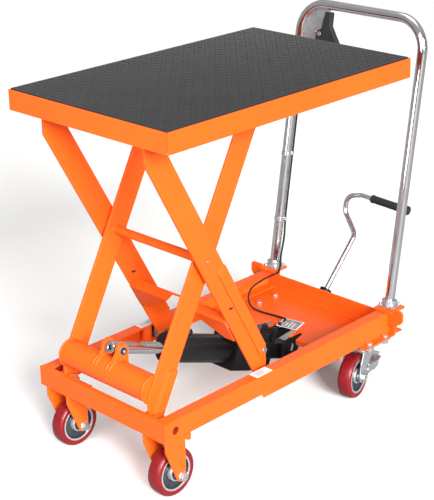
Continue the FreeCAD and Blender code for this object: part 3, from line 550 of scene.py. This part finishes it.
def lozenge(bm, cx, cy_, ang, length, wid, z0, z1):
    ca, sa = math.cos(ang), math.sin(ang)
    rings = []
    for (fl, fw, z) in ((1.0, 1.0, z0), (0.90, 0.80, z0 + (z1 - z0) * 0.75), (0.74, 0.42, z1)):
        ring = []
        for k in range(12):
            t = 2 * math.pi * k / 12
            # pointed oval
            ex = math.cos(t)
            ey = math.sin(t) * (1.0 - 0.30 * abs(math.cos(t)) ** 2)
            px, py = ex * length / 2 * fl, ey * wid / 2 * fw
            ring.append(bm.verts.new((cx + px * ca - py * sa, cy_ + px * sa + py * ca, z)))
        rings.append(ring)
    for a, b in ((rings[0], rings[1]), (rings[1], rings[2])):
        for k in range(12):
            j = (k + 1) % 12
            bm.faces.new((a[k], a[j], b[j], b[k]))
    bm.faces.new(rings[2])
    bm.faces.new(list(reversed(rings[0])))


for i in range(nx):
    for j in range(ny):
        ang = math.radians(45) if (i + j) % 2 == 0 else math.radians(-45)
        lozenge(bm, sx0 + i * PITCH, sy0 + j * PITCH, ang, 0.0150, 0.0046, slab_top - 0.0003, slab_top + 0.0012)
me = bpy.data.meshes.new("table_mat_tread")
bm.to_mesh(me)
bm.free()
smooth_all(me)
me.set_sharp_from_angle(angle=math.radians(55))
new_obj("table_mat_tread", me, M["black_rubber"], "table", ("table_mat",))

# ---------------------------------------------------------------- pedal grip: rubber sleeve with moulded rings
g0 = Vector((0.4423, 0.018, 0.3455))
g1 = Vector((0.4423, -0.088, 0.3408))
gd = (g1 - g0).normalized()
rot = Vector((0, 1, 0)).rotation_difference(gd).to_matrix().to_4x4()
place = Matrix.Translation(g0) @ rot
prof = [(6.1, 0.2), (9.6, 0.2), (10.2, 0.9), (10.2, 4.2), (9.7, 5.2), (8.9, 6.2)]
s_ = 8.0
while s_ < 96:
    prof += [(8.7, s_), (8.7, s_ + 1.3), (9.5, s_ + 1.9), (9.5, s_ + 3.6), (8.7, s_ + 4.2)]
    s_ += 5.5
prof += [(9.0, 99.6), (10.4, 100.6), (11.0, 102.0), (11.0, 106.2), (10.6, 107.4), (9.4, 108.0), (0.4, 108.2)]
prof += [(0.4, 106.4), (6.1, 106.2)]
lathe([scaled(prof)], 48, place, "pedal_grip_ribbed", [GRIP], "pedal", ("pedal_grip",), sharp=60)


# ---------------------------------------------------------------- labels: thin plates with a generic printed pattern
def plate(bm, quad, z0, z1, uvl, matx):
    lo = [bm.verts.new((p[0], p[1], z0)) for p in quad]
    hi = [bm.verts.new((p[0], p[1], z1)) for p in quad]
    top = bm.faces.new(hi)
    bot = bm.faces.new(list(reversed(lo)))
    fs = [top, bot]
    for i in range(4):
        j = (i + 1) % 4
        fs.append(bm.faces.new((lo[i], lo[j], hi[j], hi[i])))
    uv = [(0, 0), (1, 0), (1, 1), (0, 1)]
    for f in fs:
        f.material_index = matx
        for lp in f.loops:
            k = min(range(4), key=lambda q: (Vector(quad[q]) - lp.vert.co.xy).length)
            lp[uvl].uv = uv[k]


bm = bmesh.new()
uvl = bm.loops.layers.uv.new("UVMap")
XO = -0.0957


def q(x, y):
    return (x * MM + XO, y * MM)


llo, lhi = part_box("label_plates")
plate(bm, [q(208, -30), q(250, -18), q(238, 34), q(196, 22)], 0.1310, 0.1315, uvl, 0)
plate(bm, [q(-88, -186), q(-42, -186), q(-42, -163), q(-88, -163)], 0.1780, 0.1784, uvl, 1)
plate(bm, [q(-84, 166), q(-36, 166), q(-36, 186), q(-84, 186)], 0.1780, 0.1784, uvl, 1)
me = bpy.data.meshes.new("label_plates_printed")
bm.to_mesh(me)
bm.free()
me.materials.append(LABEL_GREY)
me.materials.append(LABEL_WHITE)
new_obj("label_plates_printed", me, None, "base", ("label_plates",))

# ---------------------------------------------------------------- pressed and welded pieces with rolled edges
for node, w in (("base_front_bar", 0.0009), ("base_side_rails", 0.0008), ("base_rear_cross", 0.0008), ("base_pan_floor", 0.0007),
                ("base_brackets", 0.0006), ("caster_mount_plates", 0.0006), ("front_forks", 0.0007), ("handle_brackets", 0.0007),
                ("inner_arm_near", 0.0009), ("inner_arm_far", 0.0009), ("outer_arm_near", 0.0009), ("outer_arm_far", 0.0009),
                ("torque_tube", 0.0007), ("outer_cross_plate", 0.0007), ("table_channels", 0.0007), ("table_pivot_brackets", 0.0006),
                ("cn_fork", 0.0006), ("cf_fork", 0.0006), ("cn_brake", 0.0005), ("cf_brake", 0.0005), ("pump_lever", 0.0006),
                ("frame_bolts", 0.0005), ("front_axle_bolts", 0.0006), ("cn_axle", 0.0006), ("cf_axle", 0.0006),
                ("pump_body", 0.0008), ("ram_gland", 0.0008), ("ram_barrel", 0.0008), ("release_lever", 0.0009), ("valve_lever", 0.0004),
                ("base_pivot_pins", 0.0005), ("outer_arm_pins", 0.0005), ("inner_arm_pins", 0.0005), ("table_pivot_pins", 0.0005),
                ("base_rollers", 0.0006), ("table_rollers", 0.0006), ("handle_gusset", 0.0005), ("caster_tops", 0.0005), ("handle_collars", 0.0005)):
    soften(node, w)


# the hangers beside the pump are finished in the pump's black
hang = bpy.data.objects["base_brackets_finished"]
hang.data.materials.append(M["black_paint"])
for p in hang.data.polygons:
    c = p.center
    if 0.0320 < abs(c.y) < 0.0390 and 0.050 < c.x < 0.140 and c.z < 0.129:
        p.material_index = 1

# painted heads on the crossing pins
pins = bpy.data.objects["outer_arm_pins_finished"]
pins.data.materials.append(M["orange_paint"])
for p in pins.data.polygons:
    c = p.center
    if abs(c.x + 0.2727) < 0.010 and abs(c.z - 0.4485) < 0.010 and abs(c.y) > 0.1455:
        p.material_index = 1


def pin_lathe(name, prof, x, z, y0, side, mats, body, nodes=(), segs=48, mat_index=None):
    """profile of (radius, offset) in mm, offset grows toward side * y."""
    place = Matrix.Translation(Vector((x * MM + XO, y0 * MM, z * MM)))
    pr = [(p[0], p[1] * side) for p in prof]
    return lathe([scaled(pr)], segs, place, name, mats, body, nodes, sharp=40, mat_index=mat_index)


for s, nm in ((-1, "near"), (1, "far")):
    # a small plug weld over the crossing pin
    pin_lathe("crossing_plug_weld_" + nm, [(0.2, -0.6), (4.6, -0.6), (4.6, 0.1), (4.1, 0.9), (3.0, 1.5), (1.6, 1.8), (0.2, 1.9)], -177.0, 448.5, s * 148.2, s, [M["orange_paint"]], "outer_arms")


def ram_pin_idx(pi, a, b):
    return 1 if max(a[0], b[0]) <= 0.0071 and min(a[0], b[0]) >= 0.0045 and abs(a[1]) > 0.0255 and abs(b[1]) > 0.0255 else 0


half = [(7.0, 24.6), (9.4, 24.6), (9.4, 26.0), (7.0, 26.0), (7.0, 28.6), (6.3, 29.4), (5.2, 29.4), (4.9, 28.4), (4.5, 28.4), (4.2, 29.8), (3.2, 30.4), (0.2, 30.5)]
prof = [(0.2, -30.5)] + [(p[0], -p[1]) for p in reversed(half[:-1])] + half
pin_lathe("ram_pin_turned", prof, -303.0, 265.0, 0.0, 1, [M["zinc_plate"], M["black_paint"]], "inner_arms", ("ram_pin",), mat_index=ram_pin_idx)


def rod_idx(pi, a, b):
    return 1 if max(a[0], b[0]) <= 0.00525 and min(a[1], b[1]) < -0.006 and min(a[1], b[1]) > -0.0135 else 0


# the ram rod runs past its pin to a turned end face with a centre bore
rod_prof = [(0.2, -6.6), (5.2, -6.6), (5.2, -13.4), (6.2, -14.6), (11.5, -14.6), (12.5, -13.6), (12.5, 203.0), (25.3, 203.0), (25.3, 221.0), (0.2, 221.0)]
rod_dir = Vector((math.cos(math.radians(20.4)), 0.0, -math.sin(math.radians(20.4))))
rod_place = Matrix.Translation(Vector((-303.0 * MM + XO, 0.0, 265.0 * MM))) @ Vector((0, 1, 0)).rotation_difference(rod_dir).to_matrix().to_4x4()
lathe([scaled(rod_prof)], 64, rod_place, "ram_rod_turned", [M["chrome_plate"], M["black_paint"]], "rod", ("ram_rod",), mat_index=rod_idx, sharp=32)

# ---------------------------------------------------------------- weld beads
def weld(name, pts, r, body, up_hint=(0, 0, 1), step=0.0022, mat=None):
    """An overlapping-ripple bead laid along a polyline, pts in metres."""
    P = [Vector(p) for p in pts]
    seg = [(P[i + 1] - P[i]).length for i in range(len(P) - 1)]
    total = sum(seg)
    n = max(3, int(total / (step / 3)))
    bm = bmesh.new()
    rings = []
    K = 8
    for i in range(n + 1):
        s = total * i / n
        acc = 0.0
        for k, L in enumerate(seg):
            if s <= acc + L + 1e-9 or k == len(seg) - 1:
                t = (s - acc) / L
                c = P[k].lerp(P[k + 1], min(1.0, max(0.0, t)))
                d = (P[k + 1] - P[k]).normalized()
                break
            acc += L
        h = Vector(up_hint)
        a = h.cross(d)
        if a.length < 1e-6:
            a = Vector((1, 0, 0)).cross(d)
        a.normalize()
        b = d.cross(a).normalized()
        rip = 0.86 + 0.14 * (0.5 + 0.5 * math.cos(2 * math.pi * (s / step)))
        rip *= 1.0 + 0.06 * math.sin(i * 1.7)
        fade = min(1.0, 0.45 + min(s, total - s) / (r * 1.2))
        rr = r * rip * fade
        rings.append([bm.verts.new(c + (a * math.cos(2 * math.pi * k / K) + b * math.sin(2 * math.pi * k / K)) * rr) for k in range(K)])
    for i in range(n):
        for k in range(K):
            j = (k + 1) % K
            bm.faces.new((rings[i][k], rings[i][j], rings[i + 1][j], rings[i + 1][k]))
    bm.faces.new(list(reversed(rings[0])))
    bm.faces.new(rings[-1])
    bmesh.ops.recalc_face_normals(bm, faces=bm.faces)
    me = bpy.data.meshes.new(name)
    bm.to_mesh(me)
    bm.free()
    smooth_all(me)
    return new_obj(name, me, mat or M["orange_paint"], body)


def f3(x, y, z):
    return (x * MM + XO, y * MM, z * MM)


wc = 0
# rod lugs on the torque tube
for s in (-1, 1):
    for yy in (s * 15.6, s * 24.4):
        arcp = []
        for k in range(9):
            a = math.radians(150 - 14 * k)
            arcp.append(f3(-318 + 28.9 * math.cos(a), yy, 220 + 28.9 * math.sin(a)))
        weld("lug_weld_%d" % wc, arcp, 0.0022, "inner_arms", (0, 1, 0)); wc += 1
# torque tube to the inner arms
for s in (-1, 1):
    ring = [f3(-318 + 28.6 * math.cos(2 * math.pi * k / 24), s * 123.4, 220 + 28.6 * math.sin(2 * math.pi * k / 24)) for k in range(25)]
    weld("tube_weld_%d" % wc, ring, 0.0021, "inner_arms", (0, 1, 0)); wc += 1
    ring = [f3(-177 + 9.2 * math.cos(2 * math.pi * k / 16), s * 123.4, 448.5 + 9.2 * math.sin(2 * math.pi * k / 16)) for k in range(17)]
    weld("tie_weld_%d" % wc, ring, 0.0017, "inner_arms", (0, 1, 0)); wc += 1
# fork legs under the front corners, and fork crown tacks
for wy in (-156, 138):
    for k in (-1, 1):
        yy = wy + k * 28.6
        weld("fork_weld_%d" % wc, [f3(-344, yy, 131.6), f3(-300, yy, 131.6)], 0.0017, "base", (0, 0, 1)); wc += 1
# posts in the rails
for s in (-1, 1):
    ring = [f3(-62.5 + 12.2 * math.cos(2 * math.pi * k / 18), s * 174 + 12.2 * math.sin(2 * math.pi * k / 18), 140.6) for k in range(19)]
    weld("post_weld_%d" % wc, ring, 0.0015, "base", (0, 0, 1)); wc += 1
# handle bracket shelf to the ear plate and the rear cross to the rails
for s in (-1, 1):
    weld("shelf_weld_%d" % wc, [f3(342.6, s * 190.5, 178.0), f3(342.6, s * 201, 178.0)], 0.0015, "base", (0, 0, 1)); wc += 1
    weld("ear_weld_%d" % wc, [f3(342.5, s * 189.6, 152), f3(342.5, s * 189.6, 176)], 0.0016, "base", (0, 1, 0)); wc += 1
    # hangers to the pan
    for yy in (32.7, 38.3):
        weld("hanger_weld_%d" % wc, [f3(176, s * yy, 127.6), f3(226, s * yy, 127.6)], 0.0015, "base", (0, 0, 1)); wc += 1
# doubler strips on the outer arms: short stitch beads along the free edge
BARA = math.radians(61.9)
for s in (-1, 1):
    for (a0, a1) in ((60, 84), (130, 154), (200, 224)):
        pts = []
        for sv in (a0, a1):
            e = 27 - 24
            px = -177.0 + sv * math.cos(BARA) + e * math.sin(BARA)
            pz = 448.5 - sv * math.sin(BARA) + e * math.cos(BARA)
            pts.append(f3(px, s * 147.3, pz))
        weld("strip_weld_%d" % wc, pts, 0.0014, "outer_arms", (0, 1, 0)); wc += 1
# table channel stitch welds to the deck
for s in (-1, 1):
    for xx in (-40, 60, 160, 260):
        weld("channel_weld_%d" % wc, [f3(xx, s * 121.2, 758.9), f3(xx + 26, s * 121.2, 758.9)], 0.0013, "table", (0, 0, 1)); wc += 1
    for (a_, b_) in ((132.6, 0), (138.4, 0), (149.6, 0), (155.4, 0)):
        weld("bracket_weld_%d" % wc, [f3(-340, s * a_, 758.9), f3(-300, s * a_, 758.9)], 0.0013, "table", (0, 0, 1)); wc += 1


# ---------------------------------------------------------------- rubber bungs in the slots of the outer arms
def arm_pt(sv, e):
    return (-177.0 + sv * math.cos(BARA) + e * math.sin(BARA), 448.5 - sv * math.sin(BARA) + e * math.cos(BARA))


for s, nm in ((-1, "near"), (1, "far")):
    ax_, az_ = arm_pt(128, -8)
    bm = bmesh.new()
    outline = []
    for (ox, oz, a0) in ((0, 0, 90), (8, -1.5, -90)):
        for k in range(9):
            a = math.radians(a0 + 180 * k / 8)
            outline.append((ax_ + ox + 2.33 * math.cos(a), az_ + oz + 2.33 * math.sin(a)))
    lo_ = [bm.verts.new(f3(x, s * 142.0, z)) for x, z in outline]
    hi_ = [bm.verts.new(f3(x, s * 146.2, z)) for x, z in outline]
    bm.faces.new(lo_)
    bm.faces.new(list(reversed(hi_)))
    for i in range(len(outline)):
        j = (i + 1) % len(outline)
        bm.faces.new((lo_[i], lo_[j], hi_[j], hi_[i]))
    bmesh.ops.recalc_face_normals(bm, faces=bm.faces)
    bmesh.ops.bevel(bm, geom=[e for e in bm.edges if abs(e.verts[0].co.y - e.verts[1].co.y) < 1e-7], offset=0.0005, segments=2, profile=0.5, affect="EDGES")
    me = bpy.data.meshes.new("arm_slot_bung_" + nm)
    bm.to_mesh(me)
    bm.free()
    me.set_sharp_from_angle(angle=math.radians(50))
    new_obj("arm_slot_bung_" + nm, me, M["black_rubber"], "outer_arms")


# ---------------------------------------------------------------- helper for small turned rings like the hardware seen on the real frame; nothing below calls it
def ring_part(name, place, rin, rout, h, body, slot, mat, segs=40):
    c = min(0.0003, h * 0.3)
    prof = [(rin + c, 0), (rout - c, 0), (rout, c), (rout, h - c), (rout - c, h), (rin + c, h), (rin, h - c), (rin, c)]
    return lathe([prof], segs, place, name, [mat], body, (), sharp=45)


# ---------------------------------------------------------------- floor, world, lights
def make_floor():
    m = Mat("studio_floor_paper")
    m.set(spec=0.2)
    col = m.ramp(m.noise(0.8, 3, 0.6), [(0.3, (0.86, 0.86, 0.86)), (0.7, (0.90, 0.90, 0.90))])
    lpf = m.nt.nodes.new("ShaderNodeLightPath")
    # the paper is bright to the eye, and dimmer where polished metal mirrors it, as if flagged off
    col = m.mixc(lpf.outputs["Is Glossy Ray"], col, (0.34, 0.34, 0.345))
    col = m.mixc(lpf.outputs["Is Diffuse Ray"], col, (0.24, 0.24, 0.24))
    rough = m.maprange(m.noise(5, 3, 0.6), 0.3, 0.7, 0.75, 0.9)
    return m.done(col, rough, m.bump(m.noise(60, 3, 0.6), 0.05, 0.0005))


bm = bmesh.new()
R = 60.0
N = 64
vs = [bm.verts.new((R * math.cos(2 * math.pi * k / N), R * math.sin(2 * math.pi * k / N), -0.0002)) for k in range(N)]
bm.faces.new(vs)
me = bpy.data.meshes.new("studio_floor")
bm.to_mesh(me)
bm.free()
me.materials.append(make_floor())
floor = bpy.data.objects.new("studio_floor", me)
scene.collection.objects.link(floor)

world = bpy.data.worlds.new("studio")
scene.world = world
world.use_nodes = True
nt = world.node_tree
nt.nodes.clear()
wo = nt.nodes.new("ShaderNodeOutputWorld")
bg = nt.nodes.new("ShaderNodeBackground")
bg.inputs["Strength"].default_value = 1.0
AMB = 0.30
tc = nt.nodes.new("ShaderNodeTexCoord")
sepn = nt.nodes.new("ShaderNodeSeparateXYZ")
nt.links.new(tc.outputs["Generated"], sepn.inputs[0])


def wmath(op, a, b=None):
    n = nt.nodes.new("ShaderNodeMath")
    n.operation = op
    for i, v in ((0, a), (1, b)):
        if v is None:
            continue
        if hasattr(v, "links"):
            nt.links.new(v, n.inputs[i])
        else:
            n.inputs[i].default_value = v
    return n.outputs[0]


# azimuth in turns, 0..1, from +x toward +y
az = wmath("ADD", wmath("DIVIDE", wmath("ARCTAN2", sepn.outputs[1], sepn.outputs[0]), 2 * math.pi), 0.5)
ramp = nt.nodes.new("ShaderNodeValToRGB")
cr = ramp.color_ramp
cr.interpolation = "LINEAR"
while len(cr.elements) > 1:
    cr.elements.remove(cr.elements[-1])
STOPS = [(0.0, 0.75), (0.055, 0.75), (0.075, 0.10), (0.105, 0.10), (0.125, 0.85), (0.30, 0.85), (0.33, 0.25), (0.36, 0.25), (0.39, 0.8),
         (0.62, 0.75), (0.66, 0.30), (0.72, 0.30), (0.76, 0.75), (0.90, 0.65), (1.0, 0.75)]
cr.elements[0].position = STOPS[0][0]
cr.elements[0].color = (STOPS[0][1],) * 3 + (1,)
for p, v in STOPS[1:]:
    e = cr.elements.new(p)
    e.color = (v, v, v, 1)
nt.links.new(az, ramp.inputs[0])
# above about 50 degrees the cards end and the softbox ceiling is white
hi_mix = nt.nodes.new("ShaderNodeMix")
hi_mix.data_type = "RGBA"
elev = nt.nodes.new("ShaderNodeMapRange")
elev.inputs["From Min"].default_value = 0.55
elev.inputs["From Max"].default_value = 0.8
nt.links.new(sepn.outputs[2], elev.inputs["Value"])
nt.links.new(elev.outputs[0], hi_mix.inputs[0])
nt.links.new(ramp.outputs[0], hi_mix.inputs[6])
hi_mix.inputs[7].default_value = (0.9, 0.9, 0.9, 1)
# rays that reach the camera or the floor's edge straight from the world see plain white
lp = nt.nodes.new("ShaderNodeLightPath")
cmix = nt.nodes.new("ShaderNodeMix")
cmix.data_type = "RGBA"
nt.links.new(lp.outputs["Is Camera Ray"], cmix.inputs[0])
amb = nt.nodes.new("ShaderNodeMix")
amb.data_type = "RGBA"
amb.inputs[0].default_value = AMB
amb.inputs[6].default_value = (0, 0, 0, 1)
nt.links.new(hi_mix.outputs[2], amb.inputs[7])
# mirrored rays see the softbox room at about half brightness, diffuse fill is lower
gmix = nt.nodes.new("ShaderNodeMix")
gmix.data_type = "RGBA"
gfac = nt.nodes.new("ShaderNodeMath")
gfac.operation = "MULTIPLY"
nt.links.new(lp.outputs["Is Glossy Ray"], gfac.inputs[0])
gfac.inputs[1].default_value = 0.34
nt.links.new(gfac.outputs[0], gmix.inputs[0])
nt.links.new(amb.outputs[2], gmix.inputs[6])
nt.links.new(hi_mix.outputs[2], gmix.inputs[7])
nt.links.new(gmix.outputs[2], cmix.inputs[6])
cmix.inputs[7].default_value = (1, 1, 1, 1)
nt.links.new(cmix.outputs[2], bg.inputs[0])
nt.links.new(bg.outputs[0], wo.inputs[0])


def area(name, loc, target, size, power, color=(1, 1, 1)):
    d = bpy.data.lights.new(name, "AREA")
    d.shape = "RECTANGLE"
    d.size, d.size_y = size
    d.energy = power
    d.color = color
    o = bpy.data.objects.new(name, d)
    o.location = loc
    o.rotation_mode = "QUATERNION"
    o.rotation_quaternion = (Vector(target) - Vector(loc)).to_track_quat("-Z", "Y")
    scene.collection.objects.link(o)
    return o


def sun(name, to_light, strength, angle, color=(1, 1, 1)):
    d = bpy.data.lights.new(name, "SUN")
    d.energy = strength
    d.angle = math.radians(angle)
    d.color = color
    o = bpy.data.objects.new(name, d)
    o.location = Vector(to_light) * 4
    o.rotation_mode = "QUATERNION"
    o.rotation_quaternion = (-Vector(to_light)).to_track_quat("-Z", "Y")
    scene.collection.objects.link(o)
    return o


sun("key", (-0.32, -0.84, 0.36), 7.6, 26, (1.0, 0.985, 0.955))
front = area("front_softbox", (-1.45, -0.35, 0.95), (-0.40, 0, 0.45), (0.9, 1.1), 17, (1.0, 0.99, 1.0))
front.visible_camera = False
over = area("camera_softbox", (-1.9, -1.7, 2.6), (0, 0, 0.45), (1.4, 1.0), 30)
over.visible_camera = False
top = area("top_softbox", (0.3, 0.2, 3.6), (0, 0, 0.4), (2.4, 2.4), 22)
top.visible_camera = False
back = area("back_softbox", (1.9, 2.3, 1.9), (0, 0, 0.5), (2.6, 1.2), 5)
back.visible_camera = False
